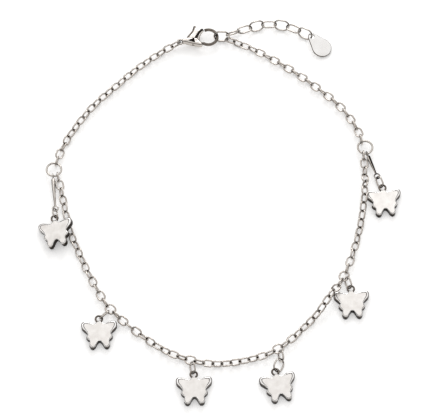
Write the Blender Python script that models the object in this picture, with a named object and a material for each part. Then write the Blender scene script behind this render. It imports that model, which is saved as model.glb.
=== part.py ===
"""Charm bracelet of ankle length, laid in an oval: cable chain, two end rings with drop bars,
six butterfly charms on jump rings, a lobster clasp, and an extender of larger links with a tag.

Metres, +Z up, resting on z = 0, with the middle of its box over the origin.
"""
import math

import bmesh
import bpy
from mathutils import Matrix, Vector

MM = 0.001

# Clearances
HOOK_GAP = 0.07 * MM            # between a wire and the loose wire that it holds
LEVER_GAP = 0.08 * MM           # between the clasp's lever and the cheeks, pin and tip round it

# Cable chain
LINK_LENGTH = 2.76 * MM         # fitted by a few hundredths so that a strand has whole links
LINK_WIDTH = 2.05 * MM
LINK_WIRE = 0.43 * MM
CONTACT_SHARE = 0.27            # of the wire, pressed into the next link where two links meet
STATION_WIDTH = 2.45 * MM       # the rounder links that carry a charm
LINK_SIDES = 10
WIRE_SIDES = 5
ROLL_SPREAD = 4.0               # links over which a charm's flat link turns the chain round it

# End rings, drop bars and jump rings
END_RING_OUTER = 3.9 * MM
END_RING_WIRE = 0.50 * MM
BAR_LENGTHS = {"left": 8.4 * MM, "right": 6.2 * MM}     # between the middles of its two eyes
BAR_WIDTH = 1.00 * MM
BAR_END_WIDTH = 0.44 * MM
BAR_EYE_OUTER = 1.60 * MM
BAR_EYE_WIRE = 0.32 * MM
JUMP_SIZE = (3.10 * MM, 2.30 * MM)
ROUND_JUMP_SIZE = (3.40 * MM, 2.80 * MM)                # the lower one of two in a row
JUMP_WIRE = 0.40 * MM
TIP_SPREAD = 1.25               # of the straight side across each end of a ring
EYE_SIDES = 8

# Butterfly charm
CHARM_WIDTH = 8.0 * MM
CHARM_HEIGHT = 6.5 * MM
CHARM_THICKNESS = 1.30 * MM
CHARM_EYE_OUTER = 1.95 * MM
CHARM_EYE_WIRE = 0.45 * MM
CHARM_EYE_RISE = 0.75 * MM      # from the top of the wings up to the middle of the eye
CHARM_EYE_HEIGHT = 0.78 * MM    # of the eye's middle over the charm's back

# Lobster clasp
CLASP_EYE_OUTER = 1.75 * MM
CLASP_EYE_WIRE = 0.50 * MM
CLASP_THICKNESS = 1.60 * MM
LEVER_THICKNESS = 0.80 * MM
LEVER_EDGE = 0.12 * MM
PIN_RADIUS = 0.22 * MM
HOOK_RADIUS = 2.08 * MM         # of the middle line of the hook's bend
HOOK_WIRE = 0.74 * MM
HOOK_CENTRE = (6.85 * MM, 0.48 * MM)
PIVOT = (3.90 * MM, -0.30 * MM)
CLASP_TURN = math.radians(7.0)
CLASP_EYE_PLACE = (-9.25 * MM, 44.0 * MM)

# Hook ring, extender and tag
HOOK_RING_LENGTH = 4.00 * MM
HOOK_RING_WIDTH = 3.10 * MM
HOOK_RING_WIRE = 0.46 * MM
EXTENDER_LENGTH = 3.95 * MM
EXTENDER_WIDTH = 3.05 * MM
EXTENDER_WIRE = 0.42 * MM
EXTENDER_LINKS = 7
TAG_LENGTH = 6.9 * MM
TAG_WIDTH = 4.7 * MM
TAG_THICKNESS = 0.50 * MM
TAG_HOLE = 1.25 * MM
TAG_TIP_RADIUS = 1.00 * MM
TAG_STEPS = 11                  # sides of the outline round the big end, and then round the tip
TIP_STEPS = 5

# Worked out from the sizes above
LINK_SINK = CONTACT_SHARE * LINK_WIRE
LINK_PITCH = LINK_LENGTH - 2 * LINK_WIRE + LINK_SINK
RING_HEIGHT = LINK_WIDTH / 2
HOOK_RING_MEAN = (HOOK_RING_WIDTH - HOOK_RING_WIRE) / 2
EXTENDER_PITCH = EXTENDER_LENGTH - 2 * EXTENDER_WIRE - HOOK_GAP

# Routes in millimetres, chosen by eye: x, y and how far the chain is lifted where it crosses a wing
LEFT_RING_PLACE = (-38.2, 9.5)
RIGHT_RING_PLACE = (34.0, 15.4)
ROUTES = {
    "left": [(-13.3, 41.6, 0), (-18.9, 37.2, 0), (-24.1, 32.1, 0), (-29.6, 26.4, 0),
             (-34.6, 19.0, 0), (-36.9, 13.9, 0)],
    "right": [(8.9, 41.7, 0), (16.8, 36.6, 0), (23.4, 31.3, 0), (28.8, 26.0, 0), (32.4, 20.0, 0)],
    "front": [(-36.4, 4.0, 0), (-35.6, 0.4, 0), (-34.8, -3.4, 0), (-33.8, -7.2, 0),
              (-32.5, -10.4, 0), (-30.2, -15.9, 0), (-27.7, -20.9, 0), (-24.8, -25.8, 0),
              (-18.6, -31.7, 0), (-10.9, -37.1, 0), (-2.0, -39.7, 0), (7.1, -38.6, 0),
              (13.9, -35.6, 0), (20.8, -28.9, 0), (23.5, -25.7, 1.2), (25.1, -23.3, 1.55),
              (26.6, -21.0, 0.7), (28.0, -18.7, 0), (30.5, -12.1, 0), (32.3, -5.2, 0),
              (33.0, -1.0, 0.9), (33.4, 2.0, 1.55), (33.6, 4.6, 1.3), (33.8, 8.0, 0)],
}
EXTENDER_ROUTE = [(4.8, 47.0), (7.7, 48.1), (10.8, 48.9), (14.0, 48.9), (16.9, 48.2), (19.6, 46.8)]

# The angle round each end ring at which a strand or a bar hooks on, in degrees from +X
HOOKS = {
    "left_upper": 74, "left_front": -58, "left_bar": -96,
    "right_upper": 118, "right_front": -106, "right_bar": -78,
}

# Charms on the front chain, in degrees: the place in millimetres that their station link is
# nearest to, where the ring hooks on it, the way each jump ring points and the charm's turn
STATIONS = [
    {"charm": 2, "near": (-24.8, -25.7), "hook": -137, "ring_ways": [-138], "turn": 3},
    {"charm": 3, "near": (-5.8, -39.0), "hook": -72, "ring_ways": [-80], "turn": 2},
    {"charm": 4, "near": (13.9, -35.6), "hook": -62, "ring_ways": [-80, -116], "turn": 12},
    {"charm": 5, "near": (28.0, -18.9), "hook": -52, "ring_ways": [-70], "turn": 2},
]

# Charms on the drop bars, in degrees: the end ring, the ways the bar and its jump ring point, the
# charm's turn, and its lean where a wing rests on the chain
DROPS = [
    {"charm": 1, "side": "left", "bar_way": -84.5, "ring_way": -92, "turn": 7, "lean": 16},
    {"charm": 6, "side": "right", "bar_way": -70, "ring_way": -68, "turn": 5, "lean": 0},
]

# Right half of the charm's outline: shares of half its width, and of its height from the top
WING = [
    (0.13, 0.01), (0.27, 0.10), (0.62, 0.01), (0.89, 0.00), (1.00, 0.10), (0.94, 0.26),
    (0.70, 0.46), (0.75, 0.56), (0.66, 0.66), (0.54, 0.72), (0.58, 0.86), (0.50, 0.97),
    (0.36, 1.00), (0.24, 0.94), (0.13, 0.82),
]
WING_NOTCH = 0.74
WING_TOP = -0.01

# The clasp's flat outlines in shares of the hook's radius, from the middle of its eye
BODY_OUTLINE = [
    (0.22, -0.17), (0.60, -0.26), (1.25, -0.55), (2.10, -0.84), (2.48, -0.80), (2.36, -0.50),
    (2.12, -0.10), (2.02, 0.12), (1.70, 0.20), (1.05, 0.33), (0.55, 0.26), (0.22, 0.17),
]
SLOT_OUTLINE = [(0.55, 0.80), (0.55, 0.00), (1.50, -0.45), (2.60, -0.45), (2.60, 0.80)]
LEVER_OUTLINE = [
    (0.82, 0.48), (1.61, 1.23), (1.80, 1.90), (2.00, 1.92), (2.14, 1.47), (2.69, 1.42),
    (2.84, 1.24), (2.62, 0.96), (2.33, 0.38), (2.21, -0.20), (2.00, -0.36), (1.70, -0.34),
    (1.20, 0.12),
]
HOOK_ROOT_ANGLE = -128
HOOK_TIP_ANGLE = 106
HOOK_ROOT = (1.35, -0.50)

# Headings, and rolls about a ring's long way, in degrees; at roll 0 a ring lies flat
CHAIN_EYE_WAY = -147            # the way the left strand leaves the clasp's eye
HOOK_RING_WAY = -2
HOOK_RING_ROLL = 65
EXTENDER_HOOK = 31              # round the hook ring, up from its far end
CHAIN_HOOK = -38
FIRST_LINK_TWIST = 45           # of the extender's first link, seen on edge
TAG_WAY = -49
UPPER_QUIET_ROLL = 14           # of the upper strands' flatter links
FRONT_QUIET_ROLL = 45
JUMP_ROLL = 62
UPPER_JUMP_ROLL = 64            # of the upper one of two in a row
LOWER_JUMP_ROLL = -46

# Heights of the clasp and of the extender, whose upright rings reach the surface
STEEP = math.sin(math.radians(HOOK_RING_ROLL))
CLASP_HEIGHT = HOOK_RING_MEAN * STEEP + HOOK_RING_WIRE / 2
EXTENDER_HEIGHT = (EXTENDER_WIDTH - EXTENDER_WIRE) / 2 * STEEP + EXTENDER_WIRE / 2


def clear_scene():
    for item in list(bpy.data.objects):
        bpy.data.objects.remove(item, do_unlink=True)


def new_collection(name):
    collection = bpy.data.collections.new(name)
    bpy.context.scene.collection.children.link(collection)
    return collection


def metal(name, colour, roughness):
    material = bpy.data.materials.new(name)
    material.use_nodes = True
    shader = material.node_tree.nodes["Principled BSDF"]
    shader.inputs["Base Color"].default_value = (*colour, 1)
    shader.inputs["Roughness"].default_value = roughness
    shader.inputs["Metallic"].default_value = 1.0
    return material


def add_piece(name, mesh, finish, matrix=None):
    """One named object of the bracelet, with its own material."""
    piece = bpy.data.objects.new(name, mesh)
    piece.data.materials.clear()
    piece.data.materials.append(metal(name, *finish))
    piece.matrix_world = matrix or Matrix.Identity(4)
    PARTS.objects.link(piece)
    return piece


def add_cutter(name, mesh, matrix=None):
    cutter = bpy.data.objects.new(name, mesh)
    cutter.matrix_world = matrix or Matrix.Identity(4)
    cutter.hide_render = True
    cutter.display_type = "WIRE"
    CUTTERS.objects.link(cutter)
    return cutter


def boolean(item, other, operation):
    modifier = item.modifiers.new(operation.title(), "BOOLEAN")
    modifier.operation = operation
    modifier.solver = "EXACT"
    modifier.object = other


def evaluated_mesh(item):
    """The mesh of an object with its modifiers, caps welded; the object itself is removed."""
    bpy.context.view_layer.update()
    graph = bpy.context.evaluated_depsgraph_get()
    mesh = bpy.data.meshes.new_from_object(item.evaluated_get(graph))
    weld = bmesh.new()
    weld.from_mesh(mesh)
    bmesh.ops.remove_doubles(weld, verts=weld.verts, dist=1e-7)
    weld.to_mesh(mesh)
    weld.free()
    bpy.data.objects.remove(item, do_unlink=True)
    return mesh


def joined_mesh(first, others, operation="UNION"):
    """The first mesh with each of the others joined to it or cut from it."""
    base = bpy.data.objects.new("base", first)
    CUTTERS.objects.link(base)
    tools = [add_cutter("tool", mesh) for mesh in others]
    for tool in tools:
        boolean(base, tool, operation)
    mesh = evaluated_mesh(base)
    for tool in tools:
        bpy.data.objects.remove(tool, do_unlink=True)
    return mesh


def smooth(mesh, angle=40):
    mesh.shade_smooth()
    mesh.set_sharp_from_angle(angle=math.radians(angle))
    return mesh


def ring_mesh(name, length, width, wire, sides=LINK_SIDES, wire_sides=WIRE_SIDES):
    """A flat oval of round wire, long way on X: a torus whose two halves are pushed apart.

    It is turned by half a side first, so that a straight side lies across each end, and that
    side is spread a little, for the next wire to lie on.
    """
    radius = (width - wire) / 2
    bpy.ops.mesh.primitive_torus_add(
        major_radius=radius, minor_radius=wire / 2,
        major_segments=sides, minor_segments=wire_sides)
    torus = bpy.context.object
    mesh = torus.data
    mesh.name = name
    half_side = math.pi / sides
    mesh.transform(Matrix.Rotation(half_side, 4, "Z"))
    stretch = (length - wire) / 2 - radius * math.cos(half_side)
    for vertex in mesh.vertices:
        if abs(vertex.co.y) < abs(vertex.co.x) * math.tan(1.5 * half_side):
            vertex.co.y *= TIP_SPREAD
        if abs(vertex.co.x) > wire / 100:
            vertex.co.x += math.copysign(stretch, vertex.co.x)
    bpy.data.objects.remove(torus, do_unlink=True)
    return smooth(mesh, 80)


def plate_mesh(name, outline, thickness, edge=0.0):
    """A flat outline on z = 0 as a plate, its rim rounded by edge."""
    curve = bpy.data.curves.new(name, "CURVE")
    curve.dimensions = "2D"
    curve.fill_mode = "BOTH"
    curve.extrude = thickness / 2 - edge
    curve.bevel_depth = edge
    curve.bevel_resolution = 0
    curve.offset = -edge
    spline = curve.splines.new("POLY")
    spline.points.add(len(outline) - 1)
    for point, (x, y) in zip(spline.points, outline):
        point.co = (x, y, 0, 1)
    spline.use_cyclic_u = True
    item = bpy.data.objects.new(name, curve)
    CUTTERS.objects.link(item)
    return smooth(evaluated_mesh(item), 35)


def moved(mesh, matrix):
    copy = mesh.copy()
    copy.transform(matrix)
    return copy


def along(start, end, roll=0.0):
    """A matrix at the middle of start and end, its X along them and rolled about that line."""
    way = (end - start).normalized()
    side = Vector((0, 0, 1)).cross(way).normalized()
    up = way.cross(side)
    turn = Matrix((way, side, up)).transposed().to_4x4()
    return Matrix.Translation((start + end) / 2) @ turn @ Matrix.Rotation(math.radians(roll), 4, "X")


def heading(degrees):
    return Vector((math.cos(math.radians(degrees)), math.sin(math.radians(degrees)), 0))


def smooth_route(points, steps=24):
    """Points on a smooth curve through the chosen ones."""
    padded = [2 * points[0] - points[1], *points, 2 * points[-1] - points[-2]]
    route = []
    for a, b, c, d in zip(padded, padded[1:], padded[2:], padded[3:]):
        for step in range(steps):
            t = step / steps
            route.append(0.5 * (2 * b + (c - a) * t + (2 * a - 5 * b + 4 * c - d) * t * t
                                + (3 * b - a - 3 * c + d) * t ** 3))
    return route + [points[-1]]


def route_length(route):
    return sum((b - a).length for a, b in zip(route, route[1:]))


def point_along(route, distance):
    """The point at a distance along a route, carried straight on past either end."""
    if distance <= 0:
        return route[0] + (route[1] - route[0]).normalized() * distance
    for a, b in zip(route, route[1:]):
        length = (b - a).length
        if distance <= length:
            return a.lerp(b, distance / length)
        distance -= length
    return route[-1] + (route[-1] - route[-2]).normalized() * distance


def lie_height(roll):
    """How high a link's middle lies when it, or its neighbour at right angles, meets the surface."""
    steep = max(abs(math.sin(math.radians(roll))), abs(math.cos(math.radians(roll))))
    return (LINK_WIDTH - LINK_WIRE) / 2 * steep + LINK_WIRE / 2


def base_rolls(count, anchors, quiet_roll):
    """The roll about which the links alternate, brought round to suit each anchor near it.

    An anchor is a link, or the ring beyond an end as number -1 or count, with its own roll.
    """
    rolls = []
    for index in range(count + 1):
        roll = quiet_roll
        for anchor, own_roll in anchors:
            change = (own_roll - 90 * (anchor % 2) - quiet_roll + 90) % 180 - 90
            roll += change * math.exp(-((index - anchor) / ROLL_SPREAD) ** 2)
        rolls.append(roll)
    return rolls


def nearest(joints, place):
    """The number of the link whose middle is nearest to a place given in millimetres."""
    target = Vector((place[0] * MM, place[1] * MM))
    gaps = [((a + b).xy / 2 - target).length for a, b in zip(joints, joints[1:])]
    return gaps.index(min(gaps))


def chain(name, start, end, points, end_wires, quiet_roll, end_rolls, stations=()):
    """A strand of links from one hook point to another, fused where each link holds the next.

    Returns the middle of each link that is nearest to a station, which is a rounder one.
    """
    low = lie_height(quiet_roll)
    knots = [Vector((x * MM, y * MM, lift * MM)) for x, y, lift in points]
    route = smooth_route([start - Vector((0, 0, low)), *knots, end - Vector((0, 0, low))])
    reach = [wire / 2 + HOOK_GAP + LINK_SINK / 2 for wire in end_wires]
    length = route_length(route) + sum(reach)
    count = round(length / LINK_PITCH)
    pitch = length / count
    joints = [point_along(route, index * pitch - reach[0]) for index in range(count + 1)]
    marks = [nearest(joints, place) for place in stations]
    anchors = [(-1, end_rolls[0]), (count, end_rolls[1])] + [(mark, 0) for mark in marks]
    rolls = base_rolls(count, anchors, quiet_roll)
    for index, joint in enumerate(joints):
        near_end = min(index, count - index)
        joint.z += low + (lie_height(rolls[index]) - low) * min(1, near_end / 3)
    link_length = pitch + 2 * LINK_WIRE - LINK_SINK
    plain = ring_mesh("link", link_length, LINK_WIDTH, LINK_WIRE)
    station = ring_mesh("station_link", link_length, STATION_WIDTH, LINK_WIRE)
    halves = [bmesh.new(), bmesh.new()]
    for index, (a, b) in enumerate(zip(joints, joints[1:])):
        shape = station if index in marks else plain
        link = moved(shape, along(a, b, rolls[index] + 90 * (index % 2)))
        halves[index % 2].from_mesh(link)
        bpy.data.meshes.remove(link)
    meshes = []
    for half in halves:
        mesh = bpy.data.meshes.new(name)
        half.to_mesh(mesh)
        half.free()
        meshes.append(mesh)
    fused = joined_mesh(meshes[0], meshes[1:])
    add_piece(name, smooth(fused, 80), CHAIN_FINISH)
    return [(joints[mark] + joints[mark + 1]) / 2 for mark in marks]


def charm_mesh():
    """A flat butterfly, and an eye joined to it over the middle of its wings."""
    half = [(u * CHARM_WIDTH / 2, -v * CHARM_HEIGHT) for u, v in WING]
    top = (0.0, -WING_TOP * CHARM_HEIGHT)
    notch = (0.0, -WING_NOTCH * CHARM_HEIGHT)
    outline = [top, *half, notch, *[(-x, y) for x, y in reversed(half)]]
    outline = [(x, y - CHARM_EYE_RISE) for x, y in reversed(outline)]
    body = plate_mesh("butterfly", outline, CHARM_THICKNESS)
    body.transform(Matrix.Translation((0, 0, CHARM_THICKNESS / 2 - CHARM_EYE_HEIGHT)))
    eye = ring_mesh("eye", CHARM_EYE_OUTER, CHARM_EYE_OUTER, CHARM_EYE_WIRE, EYE_SIDES)
    return smooth(joined_mesh(body, [eye]), 35)


def hang_charm(number, eye, turn, lean):
    name = f"charm_{number}"
    place = Matrix.Translation(eye) @ Matrix.Rotation(math.radians(turn), 4, "Z")
    place = place @ Matrix.Rotation(-math.radians(lean), 4, "Y")
    add_piece(name, CHARM.copy(), CHARM_FINISH, place)


def hold(wire, other):
    """The distance between the middles of two wires, one of which holds the other."""
    return (wire + other) / 2 + HOOK_GAP


def jump_ring(name, near, way, fall, held_wire, roll, size=JUMP_SIZE):
    """A jump ring from the middle of its own near wire, along a heading and falling by fall.

    Returns the middle of the wire that it holds at its far end.
    """
    reach = size[0] - JUMP_WIRE
    slope = math.asin(fall / reach)
    direction = heading(way) * math.cos(slope) - Vector((0, 0, math.sin(slope)))
    far = near + direction * reach
    add_piece(name, ring_mesh(name, *size, JUMP_WIRE), WIRE_FINISH, along(near, far, roll))
    return far - direction * hold(JUMP_WIRE, held_wire)


def charm_on_rings(number, holder, out, ways, holder_wire, turn, lean=0):
    """One jump ring, or two in a row, from the wire that holds them, and the charm below them.

    The heading out is square to that wire, and each way is a ring's own heading.
    """
    skew = math.cos(math.radians(ways[0] - out))
    near = holder - heading(ways[0]) * hold(JUMP_WIRE, holder_wire) / skew
    roll, size = JUMP_ROLL if lean == 0 else -JUMP_ROLL, JUMP_SIZE
    if len(ways) == 2:
        near = jump_ring(f"upper_ring_{number}", near, ways[0], 0, JUMP_WIRE, UPPER_JUMP_ROLL)
        roll, size = LOWER_JUMP_ROLL, ROUND_JUMP_SIZE
    way = heading(ways[-1])
    reach = size[0] - JUMP_WIRE
    tilt = math.radians(lean)
    rest = CHARM_EYE_HEIGHT * math.cos(tilt) + CHARM_WIDTH / 2 * math.sin(tilt)
    fall = (near.z - rest) * reach / (reach - hold(JUMP_WIRE, CHARM_EYE_WIRE))
    name = f"jump_ring_{number}"
    wire = jump_ring(name, near, ways[-1], fall, CHARM_EYE_WIRE, roll, size)
    mean = (CHARM_EYE_OUTER - CHARM_EYE_WIRE) / 2
    hang_charm(number, wire + way * mean, turn, lean)


def bar_mesh(length):
    """A slim bar that tapers to its lower end at +X, with an upright eye and then a flat one."""
    neck = length / 2 - BAR_EYE_OUTER / 2 + BAR_EYE_WIRE / 2
    bpy.ops.mesh.primitive_cone_add(
        vertices=EYE_SIDES, radius1=BAR_WIDTH / 2, radius2=BAR_END_WIDTH / 2, depth=2 * neck)
    cone = bpy.context.object
    body = cone.data
    body.transform(Matrix.Rotation(math.radians(90), 4, "Y"))
    bpy.data.objects.remove(cone, do_unlink=True)
    eye = ring_mesh("eye", BAR_EYE_OUTER, BAR_EYE_OUTER, BAR_EYE_WIRE, EYE_SIDES)
    upright = Matrix.Rotation(math.radians(90), 4, "X")
    eyes = [moved(eye, Matrix.Translation((-length / 2, 0, 0)) @ upright),
            moved(eye, Matrix.Translation((length / 2, 0, 0)))]
    return smooth(joined_mesh(body, eyes), 60)


def drop(details):
    """A drop bar on an end ring, with the jump ring and the charm below it."""
    side = details["side"]
    eye_mean = (BAR_EYE_OUTER - BAR_EYE_WIRE) / 2
    way = heading(details["bar_way"])
    upper = hook_point(side, f"{side}_bar") + way * (eye_mean - hold(END_RING_WIRE, BAR_EYE_WIRE))
    lower = upper + way * BAR_LENGTHS[side]
    add_piece(f"drop_bar_{side}", bar_mesh(BAR_LENGTHS[side]), WIRE_FINISH, along(upper, lower))
    charm_on_rings(details["charm"], lower + way * eye_mean, details["bar_way"],
                   [details["ring_way"]], BAR_EYE_WIRE, details["turn"], details["lean"])


def ring_centre(side):
    place = LEFT_RING_PLACE if side == "left" else RIGHT_RING_PLACE
    return Vector((place[0] * MM, place[1] * MM, RING_HEIGHT))


def hook_point(side, hook):
    """The middle of an end ring's wire, where a strand or a bar hooks on."""
    mean = (END_RING_OUTER - END_RING_WIRE) / 2
    return ring_centre(side) + heading(HOOKS[hook]) * mean


def end_ring(side):
    mesh = ring_mesh(f"end_ring_{side}", END_RING_OUTER, END_RING_OUTER, END_RING_WIRE)
    add_piece(f"end_ring_{side}", mesh, WIRE_FINISH, Matrix.Translation(ring_centre(side)))


def clasp_place():
    x, y = CLASP_EYE_PLACE
    turn = Matrix.Rotation(CLASP_TURN, 4, "Z")
    return Matrix.Translation((x, y, CLASP_HEIGHT)) @ turn


def clasp_outline(points):
    return [(x * HOOK_RADIUS, y * HOOK_RADIUS) for x, y in points]


def hook_mesh():
    """The hook's round bend, from the body's lower edge to its free tip."""
    curve = bpy.data.curves.new("hook", "CURVE")
    curve.dimensions = "3D"
    curve.bevel_depth = HOOK_WIRE / 2
    curve.bevel_resolution = 1
    curve.use_fill_caps = True
    points = [(HOOK_ROOT[0] * HOOK_RADIUS, HOOK_ROOT[1] * HOOK_RADIUS)]
    segments = 10
    for index in range(segments + 1):
        share = index / segments
        angle = math.radians(HOOK_ROOT_ANGLE + (HOOK_TIP_ANGLE - HOOK_ROOT_ANGLE) * share)
        points.append((HOOK_CENTRE[0] + HOOK_RADIUS * math.cos(angle),
                       HOOK_CENTRE[1] + HOOK_RADIUS * math.sin(angle)))
    spline = curve.splines.new("POLY")
    spline.points.add(len(points) - 1)
    for point, (x, y) in zip(spline.points, points):
        point.co = (x, y, 0, 1)
    item = bpy.data.objects.new("hook", curve)
    CUTTERS.objects.link(item)
    return evaluated_mesh(item)


def rod_mesh(name, radius, height, place, sides=EYE_SIDES):
    bpy.ops.mesh.primitive_cylinder_add(vertices=sides, radius=radius, depth=height)
    rod = bpy.context.object
    mesh = rod.data
    mesh.name = name
    mesh.transform(Matrix.Translation((place[0], place[1], 0)))
    bpy.data.objects.remove(rod, do_unlink=True)
    return mesh


def clasp():
    """The clasp's body, with its eye, slotted cheeks, hook and pin, and the lever in the slot."""
    body = plate_mesh("clasp_body", clasp_outline(BODY_OUTLINE), CLASP_THICKNESS, LEVER_EDGE)
    slot_height = LEVER_THICKNESS + 2 * LEVER_GAP
    slot = plate_mesh("slot", clasp_outline(SLOT_OUTLINE), slot_height)
    eye = ring_mesh("eye", CLASP_EYE_OUTER, CLASP_EYE_OUTER, CLASP_EYE_WIRE, EYE_SIDES)
    pin = rod_mesh("pin", PIN_RADIUS, CLASP_THICKNESS - LEVER_EDGE, PIVOT)
    body = joined_mesh(body, [hook_mesh()])
    body = joined_mesh(body, [slot], "DIFFERENCE")
    body = joined_mesh(body, [eye, pin])
    add_piece("clasp_body", smooth(body, 35), WIRE_FINISH, clasp_place())
    lever = plate_mesh("clasp_lever", clasp_outline(LEVER_OUTLINE), LEVER_THICKNESS, LEVER_EDGE)
    bore = rod_mesh("bore", PIN_RADIUS + LEVER_GAP, CLASP_THICKNESS, PIVOT)
    lever = joined_mesh(lever, [bore], "DIFFERENCE")
    lever.transform(Matrix.Translation((-PIVOT[0], -PIVOT[1], 0)))
    hinge = clasp_place() @ Matrix.Translation((PIVOT[0], PIVOT[1], 0))
    add_piece("clasp_lever", smooth(lever, 35), WIRE_FINISH, hinge)


def hook_ring():
    """The oval ring that the clasp's hook holds; returns where the extender and a strand hook on."""
    bend = clasp_place() @ Vector((HOOK_CENTRE[0] + HOOK_RADIUS, HOOK_CENTRE[1], 0))
    way = heading(HOOK_RING_WAY)
    reach = (HOOK_RING_LENGTH - HOOK_RING_WIRE) / 2
    middle = bend + way * (reach - hold(HOOK_WIRE, HOOK_RING_WIRE))
    place = along(middle - way, middle + way, HOOK_RING_ROLL)
    mesh = ring_mesh("hook_ring", HOOK_RING_LENGTH, HOOK_RING_WIDTH, HOOK_RING_WIRE)
    add_piece("hook_ring", mesh, WIRE_FINISH, place)
    bow = Vector((reach - HOOK_RING_MEAN, 0, 0))
    return [place @ (bow + heading(angle) * HOOK_RING_MEAN)
            for angle in (EXTENDER_HOOK, CHAIN_HOOK)]


def extender(first):
    """The larger links, each a piece of its own, and the tag at their end."""
    knots = [Vector((x * MM, y * MM, EXTENDER_HEIGHT)) for x, y in EXTENDER_ROUTE]
    way = (knots[-1] - knots[-2]).normalized()
    route = smooth_route([first, *knots, knots[-1] + way * EXTENDER_PITCH])
    lead = HOOK_RING_WIRE / 2 + HOOK_GAP / 2
    joints = [point_along(route, index * EXTENDER_PITCH - lead)
              for index in range(EXTENDER_LINKS + 1)]
    for index, (a, b) in enumerate(zip(joints, joints[1:])):
        name = f"extender_link_{index + 1}"
        mesh = ring_mesh(name, EXTENDER_LENGTH, EXTENDER_WIDTH, EXTENDER_WIRE)
        twist = FIRST_LINK_TWIST if index == 0 else 0
        roll = HOOK_RING_ROLL + 90 * (index % 2) + twist
        add_piece(name, mesh, CHAIN_FINISH, along(a, b, roll))
    last_wire = joints[-1] + (joints[-1] - joints[-2]).normalized() * (EXTENDER_WIRE + HOOK_GAP) / 2
    tag(last_wire)


def tag_mesh():
    """A flat teardrop, its tip at the hole and its round end along +X."""
    big = TAG_WIDTH / 2
    reach = TAG_LENGTH - big - TAG_TIP_RADIUS
    lean = math.acos((TAG_TIP_RADIUS - big) / reach)
    outline = []
    for index in range(TAG_STEPS + 1):
        angle = -lean + 2 * lean * index / TAG_STEPS
        outline.append((reach + big * math.cos(angle), big * math.sin(angle)))
    for index in range(TIP_STEPS + 1):
        angle = lean + (2 * math.pi - 2 * lean) * index / TIP_STEPS
        outline.append((TAG_TIP_RADIUS * math.cos(angle), TAG_TIP_RADIUS * math.sin(angle)))
    plate = plate_mesh("tag", outline, TAG_THICKNESS)
    hole = rod_mesh("hole", TAG_HOLE / 2, 2 * TAG_THICKNESS, (0, 0))
    return smooth(joined_mesh(plate, [hole], "DIFFERENCE"), 35)


def tag(wire):
    """The tag, its hole round the last link's wire and its far end on the surface."""
    way = heading(TAG_WAY)
    middle = wire + way * TAG_HOLE / 10
    far = middle + way * (TAG_LENGTH - TAG_TIP_RADIUS)
    far.z = TAG_THICKNESS / 2
    matrix = along(middle, far)
    matrix.translation = middle
    add_piece("extender_tag", tag_mesh(), WIRE_FINISH, matrix)


def centre_on_origin():
    """Moves every piece so that the whole rests on z = 0 over the origin."""
    bpy.context.view_layer.update()
    graph = bpy.context.evaluated_depsgraph_get()
    corners = []
    for piece in PARTS.objects:
        shape = piece.evaluated_get(graph)
        corners += [piece.matrix_world @ vertex.co for vertex in shape.data.vertices]
    low = Vector([min(corner[axis] for corner in corners) for axis in range(3)])
    high = Vector([max(corner[axis] for corner in corners) for axis in range(3)])
    shift = Vector((-(low.x + high.x) / 2, -(low.y + high.y) / 2, -low.z))
    for piece in PARTS.objects:
        piece.location += shift


def bracelet():
    end_ring("left")
    end_ring("right")
    clasp()
    extender_wire, chain_wire = hook_ring()
    extender(extender_wire)
    eye_mean = (CLASP_EYE_OUTER - CLASP_EYE_WIRE) / 2
    eye = clasp_place().translation + heading(CHAIN_EYE_WAY) * eye_mean
    chain("chain_left", eye, hook_point("left", "left_upper"), ROUTES["left"],
          (CLASP_EYE_WIRE, END_RING_WIRE), UPPER_QUIET_ROLL + 90, (0, 0))
    chain("chain_right", chain_wire, hook_point("right", "right_upper"), ROUTES["right"],
          (HOOK_RING_WIRE, END_RING_WIRE), UPPER_QUIET_ROLL, (HOOK_RING_ROLL, 0))
    middles = chain("chain_front", hook_point("left", "left_front"),
                    hook_point("right", "right_front"), ROUTES["front"],
                    (END_RING_WIRE, END_RING_WIRE), FRONT_QUIET_ROLL, (0, 0),
                    [station["near"] for station in STATIONS])
    for station, middle in zip(STATIONS, middles):
        holder = middle + heading(station["hook"]) * (STATION_WIDTH - LINK_WIRE) / 2
        charm_on_rings(station["charm"], holder, station["hook"], station["ring_ways"], LINK_WIRE,
                       station["turn"])
    for details in DROPS:
        drop(details)
    centre_on_origin()


clear_scene()
PARTS = new_collection("charm_bracelet")
CUTTERS = new_collection("cutters")
CHAIN_FINISH = ((0.78, 0.77, 0.75), 0.18)
WIRE_FINISH = ((0.80, 0.79, 0.77), 0.12)
CHARM_FINISH = ((0.82, 0.80, 0.77), 0.30)
CHARM = charm_mesh()
bracelet()
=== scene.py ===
"""Looks of the charm bracelet: fine wire links and rings, butterfly charms with a polished rim
round a brushed face, the lobster clasp, the extender and its tag, lit as on a white studio table.

Sizes and routes are those of part.py, in the same names; everything else is worked out from the
frame. A node's own vertices say where each ring, bar, charm and tag lies.
"""
import math

import bmesh
import bpy
import numpy as np
from mathutils import Matrix, Vector


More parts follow.
